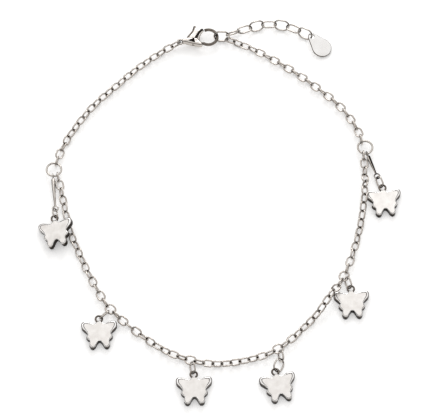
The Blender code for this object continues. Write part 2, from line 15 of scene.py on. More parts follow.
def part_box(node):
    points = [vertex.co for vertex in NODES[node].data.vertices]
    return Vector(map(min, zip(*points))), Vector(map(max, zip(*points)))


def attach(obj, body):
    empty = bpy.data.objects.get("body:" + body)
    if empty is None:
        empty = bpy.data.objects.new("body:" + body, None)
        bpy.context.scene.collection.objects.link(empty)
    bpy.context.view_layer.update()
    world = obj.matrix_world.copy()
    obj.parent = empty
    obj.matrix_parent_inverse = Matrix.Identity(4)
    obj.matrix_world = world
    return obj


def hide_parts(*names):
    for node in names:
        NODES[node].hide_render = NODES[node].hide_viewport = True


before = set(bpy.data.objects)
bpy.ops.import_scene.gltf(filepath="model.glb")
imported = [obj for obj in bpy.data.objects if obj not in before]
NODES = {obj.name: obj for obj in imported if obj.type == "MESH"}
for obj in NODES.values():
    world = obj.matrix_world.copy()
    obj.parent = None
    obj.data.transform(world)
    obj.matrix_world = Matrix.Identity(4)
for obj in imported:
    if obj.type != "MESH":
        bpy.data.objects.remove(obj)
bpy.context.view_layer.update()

MM = 0.001

# Sizes, as in part.py
HOOK_GAP = 0.07 * MM
LEVER_GAP = 0.08 * MM
LINK_LENGTH = 2.76 * MM
LINK_WIDTH = 2.05 * MM
LINK_WIRE = 0.43 * MM
CONTACT_SHARE = 0.27
STATION_WIDTH = 2.45 * MM
ROLL_SPREAD = 4.0
END_RING_OUTER = 3.9 * MM
END_RING_WIRE = 0.50 * MM
BAR_LENGTHS = {"left": 8.4 * MM, "right": 6.2 * MM}
BAR_WIDTH = 1.00 * MM
BAR_END_WIDTH = 0.44 * MM
BAR_EYE_OUTER = 1.60 * MM
BAR_EYE_WIRE = 0.32 * MM
JUMP_SIZE = (3.10 * MM, 2.30 * MM)
ROUND_JUMP_SIZE = (3.40 * MM, 2.80 * MM)
JUMP_WIRE = 0.40 * MM
CHARM_WIDTH = 8.0 * MM
CHARM_HEIGHT = 6.5 * MM
CHARM_THICKNESS = 1.30 * MM
CHARM_EYE_OUTER = 1.95 * MM
CHARM_EYE_WIRE = 0.45 * MM
CHARM_EYE_RISE = 0.75 * MM
CHARM_EYE_HEIGHT = 0.78 * MM
CLASP_EYE_OUTER = 1.75 * MM
CLASP_EYE_WIRE = 0.50 * MM
CLASP_THICKNESS = 1.60 * MM
LEVER_THICKNESS = 0.80 * MM
PIN_RADIUS = 0.22 * MM
HOOK_RADIUS = 2.08 * MM
HOOK_WIRE = 0.74 * MM
HOOK_CENTRE = (6.85 * MM, 0.48 * MM)
PIVOT = (3.90 * MM, -0.30 * MM)
CLASP_TURN = math.radians(7.0)
CLASP_EYE_PLACE = (-9.25, 44.0)
HOOK_RING_LENGTH = 4.00 * MM
HOOK_RING_WIDTH = 3.10 * MM
HOOK_RING_WIRE = 0.46 * MM
EXTENDER_LENGTH = 3.95 * MM
EXTENDER_WIDTH = 3.05 * MM
EXTENDER_WIRE = 0.42 * MM
EXTENDER_LINKS = 7
TAG_LENGTH = 6.9 * MM
TAG_WIDTH = 4.7 * MM
TAG_THICKNESS = 0.50 * MM
TAG_HOLE = 1.25 * MM
TAG_TIP_RADIUS = 1.00 * MM
LINK_SINK = CONTACT_SHARE * LINK_WIRE
LINK_PITCH = LINK_LENGTH - 2 * LINK_WIRE + LINK_SINK
RING_HEIGHT = LINK_WIDTH / 2
HOOK_RING_MEAN = (HOOK_RING_WIDTH - HOOK_RING_WIRE) / 2

# Routes, hooks and ways, as in part.py. A route's points hold x, y and how high the strand is
# lifted there, in millimetres. A hook is where round its end ring a strand hangs in, in degrees.
LEFT_RING_PLACE = (-38.2, 9.5)
ROUTES = {
    "left": [(-13.3, 41.6, 0), (-18.9, 37.2, 0), (-24.1, 32.1, 0), (-29.6, 26.4, 0),
             (-34.6, 19.0, 0), (-36.9, 13.9, 0)],
    "right": [(8.9, 41.7, 0), (16.8, 36.6, 0), (23.4, 31.3, 0), (28.8, 26.0, 0), (32.4, 20.0, 0)],
    "front": [(-36.4, 4.0, 0), (-35.6, 0.4, 0), (-34.8, -3.4, 0), (-33.8, -7.2, 0),
              (-32.5, -10.4, 0), (-30.2, -15.9, 0), (-27.7, -20.9, 0), (-24.8, -25.8, 0),
              (-18.6, -31.7, 0), (-10.9, -37.1, 0), (-2.0, -39.7, 0), (7.1, -38.6, 0),
              (13.9, -35.6, 0), (20.8, -28.9, 0), (23.5, -25.7, 1.2), (25.1, -23.3, 1.55),
              (26.6, -21.0, 0.7), (28.0, -18.7, 0), (30.5, -12.1, 0), (32.3, -5.2, 0),
              (33.0, -1.0, 0.9), (33.4, 2.0, 1.55), (33.6, 4.6, 1.3), (33.8, 8.0, 0)],
}
HOOKS = {"left_upper": 74, "left_front": -58, "right_upper": 118, "right_front": -106}
STATION_PLACES = [(-24.8, -25.7), (-5.8, -39.0), (13.9, -35.6), (28.0, -18.9)]
CHAIN_EYE_WAY = -147
HOOK_RING_WAY = -2              # a way is a heading from +X, a roll is about that heading
HOOK_RING_ROLL = 65
CHAIN_HOOK = -38
TAG_WAY = -49
BAR_WAY = -90
UPPER_QUIET_ROLL = 14
FRONT_QUIET_ROLL = 45
CLASP_HEIGHT = HOOK_RING_MEAN * math.sin(math.radians(HOOK_RING_ROLL)) + HOOK_RING_WIRE / 2

# Each charm's turn about +Z and its lean, in degrees
CHARMS = {1: (7, 16), 2: (3, 0), 3: (2, 0), 4: (12, 0), 5: (2, 0), 6: (5, 0)}

# Right half of the charm's outline: shares of half its width, and of its height from the top,
# and how wide its polished shoulder is there in millimetres
WING = [
    (0.13, 0.01, 0.16), (0.27, 0.10, 0.18), (0.62, 0.01, 0.42), (0.89, 0.00, 0.60),
    (1.00, 0.10, 0.62), (0.94, 0.26, 0.52), (0.65, 0.45, 0.26), (0.75, 0.56, 0.30),
    (0.66, 0.66, 0.28), (0.54, 0.72, 0.16), (0.58, 0.86, 0.18), (0.50, 0.97, 0.30),
    (0.36, 1.00, 0.32), (0.24, 0.94, 0.22), (0.13, 0.82, 0.18),
]
WING_NOTCH = (0.0, 0.74, 0.24)
WING_TOP = (0.0, -0.01, 0.14)

# The clasp's flat outlines in shares of the hook's radius, from the middle of its eye
BODY_OUTLINE = [
    (0.22, -0.17), (0.60, -0.26), (1.25, -0.55), (2.10, -0.84), (2.48, -0.80), (2.36, -0.50),
    (2.12, -0.10), (2.02, 0.12), (1.70, 0.20), (1.05, 0.33), (0.55, 0.26), (0.22, 0.17),
]
SLOT_OUTLINE = [(0.55, 0.80), (0.55, 0.00), (1.50, -0.45), (2.60, -0.45), (2.60, 0.80)]
LEVER_OUTLINE = [
    (0.82, 0.48), (1.61, 1.23), (1.80, 1.90), (2.00, 1.92), (2.14, 1.47), (2.69, 1.42),
    (2.84, 1.24), (2.62, 0.96), (2.33, 0.38), (2.21, -0.20), (2.00, -0.36), (1.70, -0.34),
    (1.20, 0.12),
]
HOOK_ROOT_ANGLE = -128
HOOK_TIP_ANGLE = 110            # drawn out a little further than part.py's 106
HOOK_ROOT = (1.35, -0.50)

# Finer details that only the looks have
LINK_STEPS = 16                 # round a link, and round its wire
LINK_PROFILE = 6
RING_STEPS = 36                 # round a bent ring, and round its wire
RING_PROFILE = 12
TURNED_SIDES = 20               # the drop bars and the clasp's pin
BEVEL_SEGMENTS = 3
CLAW_STEPS = 28                 # round the claw's bend
END_LINKS = 3                   # links over which a strand comes down from its end
ROUTE_STEPS = 24                # points of a strand's route for each chosen one
SEAM = 0.05 * MM                # the cut of a bent ring, closed by hand with pliers
SOLDERED = SEAM / 100           # what is left of that cut where the ring is soldered shut
SEAM_ANGLE = 52.0
OUTLINE_STEPS = 4               # points of a smooth outline for each chosen one
# Edges steeper than this many degrees stay sharp: on links, bent rings, turned bars, cast plates
LINK_SMOOTH, RING_SMOOTH, BAR_SMOOTH, CAST_SMOOTH = 80, 60, 40, 35
# The charm's shoulder from its edge inwards: the share of its width, the depth below the top in
# millimetres, and which of the charm's metals the strip up to there has below and above, where it
# faces the camera and where it faces away; the dark ones there are painted shade
RIM, FACE, WALL, EDGE_SHADE = range(4)
SHOULDER = [
    (0.00, 0.24, WALL, EDGE_SHADE), (0.16, 0.11, EDGE_SHADE, EDGE_SHADE),
    (0.36, 0.04, RIM, EDGE_SHADE), (0.52, 0.01, RIM, RIM), (0.78, 0.00, RIM, RIM),
    (0.86, 0.02, EDGE_SHADE, EDGE_SHADE), (0.93, 0.08, EDGE_SHADE, EDGE_SHADE),
    (1.00, 0.08, EDGE_SHADE, EDGE_SHADE), (1.07, 0.02, RIM, RIM),
]
EVENING = 3                     # times that the shoulder's inner edge is evened out
# The bars' dark side is painted shade
BAR_SHADE = {"left": (-1, 0.72), "right": (1, -0.20)}     # a bar's dark side, and from what slope
CLASP_EDGE = 0.38 * MM          # rounding of the cast body
THUMB_THICKNESS = 0.46 * MM     # the lever's plate, thinner than the round arm along its edge
THUMB_EDGE = 0.21 * MM
ARM_ROUTE = [(2.74, 1.14), (2.50, 0.92), (2.22, 0.44), (2.08, -0.12)]
ARM_RADIUS = 0.31 * MM
# The crease, a rod painted dark as the shade between the lever's plate and its arm, and the plate's
# rolled outer edge
CREASE_ROUTE = [(2.78, 1.28), (2.56, 1.16), (2.27, 0.88), (1.96, 0.44), (1.78, 0.14),
                (1.62, -0.08)]
CREASE_RADIUS = 0.42 * MM
ROLLED_ROUTE = [(0.95, 0.45), (1.27, 0.80), (1.60, 1.16), (1.76, 1.50), (1.88, 1.80)]
ROLLED_RADIUS = 0.31 * MM
POCKET_OUTLINE = [(0.90, -0.14), (1.64, 0.18), (1.68, -0.52)]
POCKET_DEPTH = 0.24 * MM
POCKET_SLOPE = 0.9              # its floor is what points up at least this much
TAG_EDGE = 0.20 * MM
TAG_END_STEPS = 32              # round the tag's big end, and round its tip
TAG_TIP_STEPS = 12
TAG_HOLE_SIDES = 24
FACE_SLOPE = 0.97               # a plate's face is what points up or down at least this much

NOISE_BAND = (0.3, 0.7)         # what nearly all of a noise lies between

# Painted shade in the nips and near the table: its colour, and how close other metal or the table
# has to be for it
PAINTED_SHADE = "#0E0B0A"
SHADE_REACH = 0.50 * MM
SHADE_FROM = 0.60             # openness at which metal is wholly dark, and wholly bright
SHADE_TO = 0.84

# Camera: the photograph's angle, and how many millimetres one of its pixels covers
PHOTO_WIDTH = 438
MM_PER_PIXEL = 0.23
CAMERA_ELEVATION = 62
LENS = 200
SENSOR = 36

# Soft lamps over the tent's back and left side: name, place in metres, watts
LAMPS = [("back_light", (0.05, 0.55, 0.40), 1.2), ("side_light", (-0.36, 0.36, 0.52), 0.20)]
LAMP_SIZE = (0.35, 0.25)
TABLE_SIZE = 4
TABLE_GLOW = 0.36


def colour(code):
    """A #RRGGBB colour as linear RGBA."""
    values = [int(code[index:index + 2], 16) / 255 for index in (1, 3, 5)]
    return [v / 12.92 if v <= 0.04045 else ((v + 0.055) / 1.055) ** 2.4 for v in values] + [1.0]


def add_node(tree, kind, inputs=None, **settings):
    """A shader node with its settings; inputs are values, or sockets to link from."""
    node = tree.nodes.new(kind)
    for name, value in settings.items():
        setattr(node, name, value)
    for name, value in (inputs or {}).items():
        if isinstance(value, bpy.types.NodeSocket):
            tree.links.new(value, node.inputs[name])
        else:
            node.inputs[name].default_value = value
    return node


def new_material(name):
    """A material with an empty node tree."""
    material = bpy.data.materials.new(name)
    material.use_nodes = True
    material.node_tree.nodes.clear()
    return material


def ramp(tree, factor, stops):
    """A colour ramp; stops are places and #RRGGBB colours."""
    node = add_node(tree, "ShaderNodeValToRGB", {"Fac": factor})
    elements = node.color_ramp.elements
    while len(elements) < len(stops):
        elements.new(0.5)
    for element, (place, code) in zip(elements, stops):
        element.position = place
        element.color = colour(code)
    return node.outputs["Color"]


def noise(tree, vector, size, detail=2.0):
    """Noise whose features are about size metres across."""
    return add_node(tree, "ShaderNodeTexNoise",
                    {"Vector": vector, "Scale": 1 / size, "Detail": detail}).outputs["Fac"]


def metal(name, dark, light, roughness, cloud, grain, bump, stretch=(1, 1, 1)):
    """A bare or plated metal.

    Its colour drifts between dark and light in clouds, its roughness is a pair of values that
    follow the grain, and the grain also lifts the surface by bump metres. Where other metal or
    the table is close by, as in the nips of a crossing, it is painted dark as shade.
    """
    material = new_material(name)
    tree = material.node_tree
    place = add_node(tree, "ShaderNodeTexCoord").outputs["Object"]
    stretched = add_node(tree, "ShaderNodeMapping", {"Vector": place, "Scale": stretch})
    fine = noise(tree, stretched.outputs["Vector"], grain, 4.0)
    low, high = NOISE_BAND
    tint = ramp(tree, noise(tree, place, cloud), [(low, dark), (high, light)])
    rough = add_node(tree, "ShaderNodeMapRange", {
        "Value": fine, "From Min": low, "From Max": high,
        "To Min": roughness[0], "To Max": roughness[1]})
    # Ambient occlusion paints shade into the nips of crossings and along wires close to the table
    open_air = add_node(tree, "ShaderNodeAmbientOcclusion", {"Distance": SHADE_REACH},
                        samples=8).outputs["AO"]
    shaded = add_node(tree, "ShaderNodeMapRange", {
        "Value": open_air, "From Min": SHADE_FROM, "From Max": SHADE_TO})
    tint = add_node(tree, "ShaderNodeMix", {
        "Factor": shaded.outputs["Result"], "A": colour(PAINTED_SHADE), "B": tint},
        data_type="RGBA").outputs["Result"]
    lift = add_node(tree, "ShaderNodeBump", {"Height": fine, "Distance": bump, "Strength": 0.6})
    shader = add_node(tree, "ShaderNodeBsdfPrincipled", {
        "Base Color": tint, "Metallic": 1.0, "Roughness": rough.outputs["Result"],
        "Normal": lift.outputs["Normal"]})
    add_node(tree, "ShaderNodeOutputMaterial", {"Surface": shader.outputs["BSDF"]})
    return material


def give(item, *materials):
    """The object's materials, in this order, in place of those it had."""
    item.data.materials.clear()
    for material in materials:
        item.data.materials.append(material)


def start_object(item):
    """Selects the object alone and makes it the active one."""
    bpy.ops.object.select_all(action="DESELECT")
    item.select_set(True)
    bpy.context.view_layer.objects.active = item
    return item


def new_object(name, mesh):
    """An object of this mesh or curve, linked to the scene and active."""
    item = bpy.data.objects.new(name, mesh)
    bpy.context.scene.collection.objects.link(item)
    return start_object(item)


def join(item, *others):
    """The first object with the others joined to it, its own metals first."""
    start_object(item)
    for other in others:
        other.select_set(True)
    bpy.ops.object.join()
    return item


def smooth(item, angle):
    """Smooth shading, with edges sharper than the angle left sharp."""
    start_object(item)
    bpy.ops.object.shade_smooth_by_angle(angle=math.radians(angle))
    return item


def apply_modifiers(item):
    """Applies the object's modifiers in their order."""
    start_object(item)
    for modifier in list(item.modifiers):
        bpy.ops.object.modifier_apply(modifier=modifier.name)
    return item


def rounded(item, width):
    """Rounds the object's sharp edges by this width."""
    bevel = item.modifiers.new("rounding", "BEVEL")
    bevel.width = width
    bevel.segments = BEVEL_SEGMENTS
    bevel.limit_method = "ANGLE"
    return apply_modifiers(item)


def along(start, end, roll=0.0):
    """A matrix at the middle of start and end, its X along them and rolled about that line."""
    way = (end - start).normalized()
    side = Vector((0, 0, 1)).cross(way).normalized()
    up = way.cross(side)
    turn = Matrix((way, side, up)).transposed().to_4x4()
    rolled = turn @ Matrix.Rotation(math.radians(roll), 4, "X")
    return Matrix.Translation((start + end) / 2) @ rolled


def heading(degrees):
    """The way that lies this many degrees round from +X, flat on the table."""
    return Vector((math.cos(math.radians(degrees)), math.sin(math.radians(degrees)), 0))


def smooth_through(points, steps, closed=False):
    """Points on a smooth curve through the chosen ones."""
    if closed:
        padded = [points[-1], *points, points[0], points[1]]
    else:
        padded = [2 * points[0] - points[1], *points, 2 * points[-1] - points[-2]]
    route = []
    for a, b, c, d in zip(padded, padded[1:], padded[2:], padded[3:]):
        for step in range(steps):
            t = step / steps
            route.append(0.5 * (2 * b + (c - a) * t + (2 * a - 5 * b + 4 * c - d) * t * t
                                + (3 * b - a - 3 * c + d) * t ** 3))
    return route if closed else route + [points[-1]]


def point_along(route, distance):
    """The point at a distance along a route, carried straight on past either end."""
    if distance <= 0:
        return route[0] + (route[1] - route[0]).normalized() * distance
    for a, b in zip(route, route[1:]):
        length = (b - a).length
        if distance <= length:
            return a.lerp(b, distance / length)
        distance -= length
    return route[-1] + (route[-1] - route[-2]).normalized() * distance


def lie_height(roll):
    """How high the middle of a chain link is when it lies rolled by this angle."""
    steep = max(abs(math.sin(math.radians(roll))), abs(math.cos(math.radians(roll))))
    return (LINK_WIDTH - LINK_WIRE) / 2 * steep + LINK_WIRE / 2


def base_rolls(count, anchors, quiet_roll):
    """The roll about which the links alternate, brought round to suit each anchor near it."""
    rolls = []
    for index in range(count + 1):
        roll = quiet_roll
        for anchor, own_roll in anchors:
            change = (own_roll - 90 * (anchor % 2) - quiet_roll + 90) % 180 - 90
            roll += change * math.exp(-((index - anchor) / ROLL_SPREAD) ** 2)
        rolls.append(roll)
    return rolls


def nearest(joints, place):
    """Which link, between two joints, has its middle nearest to a place."""
    target = Vector((place[0] * MM, place[1] * MM))
    gaps = [((a + b).xy / 2 - target).length for a, b in zip(joints, joints[1:])]
    return gaps.index(min(gaps))


def frame_shift():
    """From part.py's drawing place to the frame, read off the left end ring."""
    low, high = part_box("end_ring_left")
    drawn = Vector((LEFT_RING_PLACE[0] * MM, LEFT_RING_PLACE[1] * MM, RING_HEIGHT))
    return (low + high) / 2 - drawn


def oval(mesh, length, width):
    """Pushes the two halves of a round ring apart to an oval, long way on X."""
    stretch = (length - width) / 2
    for vertex in mesh.vertices:
        vertex.co.x += math.copysign(stretch, vertex.co.x)
    return mesh


def link_mesh(length, width, wire):
    """A soldered link of round wire: a closed ring drawn out to an oval."""
    bpy.ops.mesh.primitive_torus_add(
        major_radius=(width - wire) / 2, minor_radius=wire / 2,
        major_segments=LINK_STEPS, minor_segments=LINK_PROFILE)
    item = bpy.context.object
    mesh = item.data
    mesh.transform(Matrix.Rotation(math.pi / LINK_STEPS, 4, "Z"))
    oval(mesh, length, width)
    bpy.data.objects.remove(item, do_unlink=True)
    return mesh


def ring_object(name, length, width, wire, seam=SEAM):
    """A ring bent from wire: its profile spun nearly all the way round, its two cut ends facing."""
    radius = (width - wire) / 2
    bpy.ops.mesh.primitive_circle_add(
        vertices=RING_PROFILE, radius=wire / 2, location=(radius, 0, 0),
        rotation=(math.pi / 2, 0, 0))
    item = bpy.context.object
    item.name = name
    bpy.ops.object.transform_apply(location=True, rotation=True, scale=True)
    bpy.ops.object.mode_set(mode="EDIT")
    bpy.ops.mesh.select_all(action="SELECT")
    bpy.ops.mesh.spin(steps=RING_STEPS, angle=2 * math.pi - seam / radius,
                      center=(0, 0, 0), axis=(0, 0, 1))
    bpy.ops.mesh.select_all(action="SELECT")
    bpy.ops.mesh.fill_holes(sides=RING_PROFILE)
    bpy.ops.mesh.select_all(action="SELECT")
    bpy.ops.mesh.normals_make_consistent(inside=False)
    bpy.ops.object.mode_set(mode="OBJECT")
    item.data.transform(Matrix.Rotation(math.radians(SEAM_ANGLE), 4, "Z"))
    oval(item.data, length, width)
    return item


def points_of(name):
    """A node's own points, each once, as rows of numbers."""
    mesh = NODES[name].data
    rows = np.array([tuple(vertex.co) for vertex in mesh.vertices])
    return np.unique(np.round(rows, 7), axis=0)


def axes_of(name):
    """The middle of a node and its three directions, from its longest to its shortest."""
    rows = points_of(name)
    middle = rows.mean(axis=0)
    values, vectors = np.linalg.eigh(np.cov((rows - middle).T))
    order = np.argsort(values)[::-1]
    return Vector(middle), [Vector(vectors[:, index]) for index in order]


def lie_of(name, towards):
    """The middle of a long node, and its long way turned towards a heading."""
    middle, (way, _, _) = axes_of(name)
    way = way if way.dot(towards) > 0 else -way
    reach = points_of(name) @ np.array(way)
    return middle + way * ((reach.min() + reach.max()) / 2 - middle.dot(way)), way


def ring_place(name):
    """Where a ring lies: its long way on X and its hole on Z."""
    middle, (way, side, up) = axes_of(name)
    side = up.cross(way)
    turn = Matrix((way, side, up)).transposed().to_4x4()
    return Matrix.Translation(middle) @ turn


def finish_piece(item, slot, body, *nodes):
    """The piece rides on its body and stands for its CAD nodes; the slot is not used."""
    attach(item, body)
    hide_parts(*nodes)
    return item


def ring_piece(node, length, width, wire, material):
    """A bent ring in the place of its node."""
    item = ring_object("wire_" + node, length, width, wire)
    item.data.transform(ring_place(node))
    give(smooth(item, RING_SMOOTH), material)
    return finish_piece(item, "polished_silver", "bracelet", node)


def strand(side, start, end, end_wires, quiet_roll, end_rolls, stations, material):
    """A strand of the cable chain along part.py's route, its links just touching."""
    low = lie_height(quiet_roll)
    knots = [Vector((x * MM, y * MM, lift * MM)) for x, y, lift in ROUTES[side]]
    drop = Vector((0, 0, low))
    route = smooth_through([start - drop, *knots, end - drop], ROUTE_STEPS)
    reach = [wire / 2 + HOOK_GAP + LINK_SINK / 2 for wire in end_wires]
    length = sum((b - a).length for a, b in zip(route, route[1:])) + sum(reach)
    count = round(length / LINK_PITCH)
    pitch = length / count
    joints = [point_along(route, index * pitch - reach[0]) for index in range(count + 1)]
    marks = [nearest(joints, place) for place in stations]
    anchors = [(-1, end_rolls[0]), (count, end_rolls[1])] + [(mark, 0) for mark in marks]
    rolls = base_rolls(count, anchors, quiet_roll)
    for index, joint in enumerate(joints):
        near_end = min(index, count - index)
        joint.z += low + (lie_height(rolls[index]) - low) * min(1, near_end / END_LINKS)
    link_length = pitch + 2 * LINK_WIRE - LINK_SINK / 4
    plain = link_mesh(link_length, LINK_WIDTH, LINK_WIRE)
    station = link_mesh(link_length, STATION_WIDTH, LINK_WIRE)
    build = bmesh.new()
    for index, (a, b) in enumerate(zip(joints, joints[1:])):
        link = (station if index in marks else plain).copy()
        link.transform(SHIFT @ along(a, b, rolls[index] + 90 * (index % 2)))
        build.from_mesh(link)
        bpy.data.meshes.remove(link)
    mesh = bpy.data.meshes.new("links_" + side)
    build.to_mesh(mesh)
    build.free()
    item = smooth(new_object("links_" + side, mesh), LINK_SMOOTH)
    give(item, material)
    return finish_piece(item, "polished_silver", "bracelet", "chain_" + side)


def strands(material):
    """The three strands, from the clasp and the hook ring round by both end rings."""
    eye_mean = (CLASP_EYE_OUTER - CLASP_EYE_WIRE) / 2
    ring_mean = (END_RING_OUTER - END_RING_WIRE) / 2
    eye = clasp_drawn().translation + heading(CHAIN_EYE_WAY) * eye_mean
    ends = {}
    for hook, angle in HOOKS.items():
        low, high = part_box("end_ring_" + hook.split("_")[0])
        ends[hook] = (low + high) / 2 - SHIFT.translation + heading(angle) * ring_mean
    bow = Vector(((HOOK_RING_LENGTH - HOOK_RING_WIRE) / 2 - HOOK_RING_MEAN, 0, 0))
    hook = hook_ring_drawn() @ (bow + heading(CHAIN_HOOK) * HOOK_RING_MEAN)
    strand("left", eye, ends["left_upper"], (CLASP_EYE_WIRE, END_RING_WIRE),
           UPPER_QUIET_ROLL + 90, (0, 0), [], material)
    strand("right", hook, ends["right_upper"], (HOOK_RING_WIRE, END_RING_WIRE),
           UPPER_QUIET_ROLL, (HOOK_RING_ROLL, 0), [], material)
    strand("front", ends["left_front"], ends["right_front"], (END_RING_WIRE, END_RING_WIRE),
           FRONT_QUIET_ROLL, (0, 0), STATION_PLACES, material)


def clasp_drawn():
    """Where part.py draws the clasp: the middle of its eye, and its turn."""
    x, y = CLASP_EYE_PLACE
    turn = Matrix.Rotation(CLASP_TURN, 4, "Z")
    return Matrix.Translation((x * MM, y * MM, CLASP_HEIGHT)) @ turn


def hook_ring_drawn():
    """Where part.py draws the hook ring: held in the claw's bend."""
    bend = clasp_drawn() @ Vector((HOOK_CENTRE[0] + HOOK_RADIUS, HOOK_CENTRE[1], 0))
    way = heading(HOOK_RING_WAY)
    reach = (HOOK_RING_LENGTH - HOOK_RING_WIRE) / 2
    hold = (HOOK_WIRE + HOOK_RING_WIRE) / 2 + HOOK_GAP
    middle = bend + way * (reach - hold)
    return along(middle - way, middle + way, HOOK_RING_ROLL)


def wing_outline():
    """The butterfly's outline, rounded, from the middle of its eye; z is the shoulder's width."""
    limit = CHARM_WIDTH / 2
    half = [Vector((u * limit, -v * CHARM_HEIGHT, rim * MM)) for u, v, rim in WING]
    top, notch = [Vector((u, -v * CHARM_HEIGHT, rim * MM)) for u, v, rim in (WING_TOP, WING_NOTCH)]
    mirrored = [Vector((-point.x, point.y, point.z)) for point in reversed(half)]
    outline = smooth_through([top, *half, notch, *mirrored], OUTLINE_STEPS, closed=True)
    return [Vector((max(-limit, min(limit, p.x)), max(-CHARM_HEIGHT, p.y) - CHARM_EYE_RISE, p.z))
            for p in reversed(outline)]


def inset_loop(outline, share):
    """The outline moved inwards by a share of its shoulder's width, and evened out a little."""
    count = len(outline)
    loop = []
    for index, point in enumerate(outline):
        way = (outline[(index + 2) % count] - outline[index - 2]).xy.normalized()
        loop.append(point.xy + Vector((-way.y, way.x)) * point.z * share)
    for _ in range(round(share * EVENING)):
        loop = [(loop[index - 1] + 2 * loop[index] + loop[(index + 1) % count]) / 4
                for index in range(count)]
    return loop


def charm_model(metals):
    """A cast butterfly: a rounded, polished shoulder and a fine groove round a brushed face, with
    painted shade on its wall, groove and eye and on strips of its shoulder.
    """
    top = CHARM_THICKNESS - CHARM_EYE_HEIGHT
    outline = wing_outline()
    build = bmesh.new()
    lower = [build.verts.new((p.x, p.y, -CHARM_EYE_HEIGHT)) for p in outline]
    build.faces.new(reversed(lower)).material_index = WALL
    for share, depth, below, above in SHOULDER:
        upper = [build.verts.new((p.x, p.y, top - depth * MM))
                 for p in inset_loop(outline, share)]
        for index in range(len(outline)):
            strip = (lower[index - 1], lower[index], upper[index], upper[index - 1])
            # Which way a strip faces picks its metal, so its painted shade falls by side
            faces_up = outline[index - 1].x > outline[index].x
            build.faces.new(strip).material_index = above if faces_up else below
        lower = upper
    build.faces.new(lower).material_index = FACE
    mesh = bpy.data.meshes.new("butterfly")
    build.to_mesh(mesh)
    build.free()
    item = new_object("butterfly", mesh)
    for material in metals:
        mesh.materials.append(material)
    bpy.ops.object.mode_set(mode="EDIT")
    bpy.ops.mesh.select_all(action="SELECT")
    bpy.ops.mesh.normals_make_consistent(inside=False)
    bpy.ops.object.mode_set(mode="OBJECT")
    eye = ring_object("charm_eye", CHARM_EYE_OUTER, CHARM_EYE_OUTER, CHARM_EYE_WIRE, SOLDERED)
    # The charm's eye takes the grey painted shade
    give(eye, metals[EDGE_SHADE])
    return smooth(join(item, eye), CAST_SMOOTH)


def charm_place(name, turn, lean):
    """Where a charm's eye is and how the charm lies, from the reach of its node's points."""
    turned = Matrix.Rotation(math.radians(turn), 4, "Z")
    turned = turned @ Matrix.Rotation(-math.radians(lean), 4, "Y")
    own = points_of(name) @ np.array(turned.to_3x3())
    low, high = own.min(axis=0), own.max(axis=0)
    eye = Vector(((low[0] + high[0]) / 2, low[1] + CHARM_HEIGHT + CHARM_EYE_RISE,
                  low[2] + CHARM_EYE_HEIGHT))
    return turned @ Matrix.Translation(eye)


def charms(*metals):
    """Six copies of one charm, each with its own mesh, place, turn and lean."""
    model = charm_model(metals)
    for number, (turn, lean) in CHARMS.items():
        node = f"charm_{number}"
        item = new_object("butterfly_" + str(number), model.data.copy())
        item.data.transform(charm_place(node, turn, lean))
        finish_piece(item, "satin_silver", "bracelet", node)
    bpy.data.objects.remove(model, do_unlink=True)


def bar_object(side):
    """A tapered bar with a rounded shoulder at each end, and its upright and its flat eye."""
    length = BAR_LENGTHS[side]
    neck = length / 2 - BAR_EYE_OUTER / 2 + BAR_EYE_WIRE / 2
    bpy.ops.mesh.primitive_cone_add(
        vertices=TURNED_SIDES, radius1=BAR_WIDTH / 2, radius2=BAR_END_WIDTH / 2, depth=2 * neck)
    bar = rounded(bpy.context.object, BAR_END_WIDTH / 3)
    bar.name = "bar_" + side
    bar.data.transform(Matrix.Rotation(math.pi / 2, 4, "Y"))
    upright = ring_object("upright_eye", BAR_EYE_OUTER, BAR_EYE_OUTER, BAR_EYE_WIRE)
    upright.data.transform(Matrix.Translation((-length / 2, 0, 0))
                           @ Matrix.Rotation(math.pi / 2, 4, "X"))
    flat = ring_object("flat_eye", BAR_EYE_OUTER, BAR_EYE_OUTER, BAR_EYE_WIRE)
    flat.data.transform(Matrix.Translation((length / 2, 0, 0)))
    return smooth(join(bar, upright, flat), BAR_SMOOTH)


def bars(material, shade_material):
    """Both drop bars, pale on top, with painted shade on the side that faces away from the loop."""
    for side in BAR_LENGTHS:
        node = "drop_bar_" + side
        middle, way = lie_of(node, heading(BAR_WAY))
        item = bar_object(side)
        give(item, material, shade_material)
        # Faces turned to that side take the near-black painted shade
        shade_way, shade_slope = BAR_SHADE[side]
        for polygon in item.data.polygons:
            polygon.material_index = int(polygon.normal.y * shade_way > shade_slope)
        item.data.transform(along(middle - way, middle + way))
        finish_piece(item, "polished_silver", "bracelet", node)


def mesh_of_curve():
    """The active curve as a mesh, its caps welded to its sides and its faces turned out."""
    bpy.ops.object.convert(target="MESH")
    bpy.ops.object.mode_set(mode="EDIT")
    bpy.ops.mesh.select_all(action="SELECT")
    bpy.ops.mesh.remove_doubles(threshold=MM / 10000)
    bpy.ops.mesh.normals_make_consistent(inside=False)
    bpy.ops.object.mode_set(mode="OBJECT")
    return bpy.context.object


def plate(name, outline, thickness, edge):
    """A flat outline on z = 0 as a cast plate with a rounded edge."""
    curve = bpy.data.curves.new(name, "CURVE")
    curve.dimensions = "2D"
    curve.fill_mode = "BOTH"
    curve.extrude = thickness / 2 - edge
    curve.bevel_depth = edge
    curve.bevel_resolution = BEVEL_SEGMENTS
    curve.offset = -edge
    spline = curve.splines.new("POLY")
    spline.points.add(len(outline) - 1)
    for point, place in zip(spline.points, outline):
        point.co = (place.x, place.y, 0, 1)
    spline.use_cyclic_u = True
    new_object(name, curve)
    return mesh_of_curve()


def give_plate(item, face, edge):
    """One metal for a plate's two flat faces, and another for its rounded edge."""
    give(item, face, edge)
    for polygon in item.data.polygons:
        polygon.material_index = 0 if abs(polygon.normal.z) > FACE_SLOPE else 1
    return item


